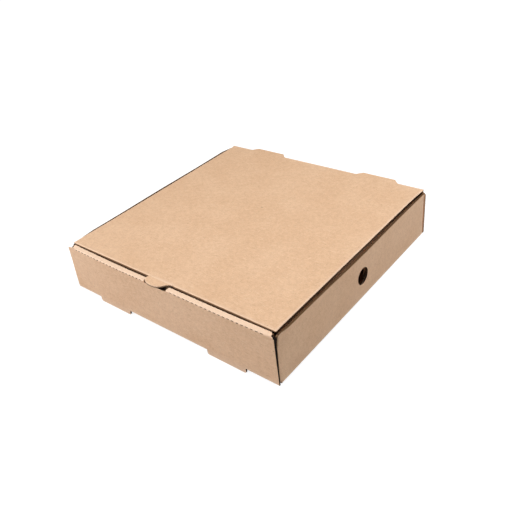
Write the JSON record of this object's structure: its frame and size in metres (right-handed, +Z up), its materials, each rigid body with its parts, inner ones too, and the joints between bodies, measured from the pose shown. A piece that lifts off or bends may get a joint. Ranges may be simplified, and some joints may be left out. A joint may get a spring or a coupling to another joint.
{
  "type": "pizza box",
  "caption": "Square folded cardboard pizza box with a hinged tuck-in lid, thumb tab, rolled-over front wall, front feet, rear ears and round side vents.",
  "frame": {"origin": "middle of the base's underside, so the two front feet reach 4.8 mm below it", "axes": "+X to the right along the front, +Y from the front to the rear crease, +Z up"},
  "size_m": [0.26, 0.266, 0.0561],
  "materials": {
    "kraft_board": "matt brown kraft liner on fluted board"
  },
  "bodies": {
    "tray": {"tray": "kraft_board"},
    "lid": {"lid": "kraft_board"}
  },
  "joints": [
    {"name": "lid_hinge", "type": "hinge", "parent": "tray", "child": "lid", "pos_m": [0, 0.13, 0.0513], "axis": [-1, 0, 0], "range_deg": [0, 180]}
  ]
}
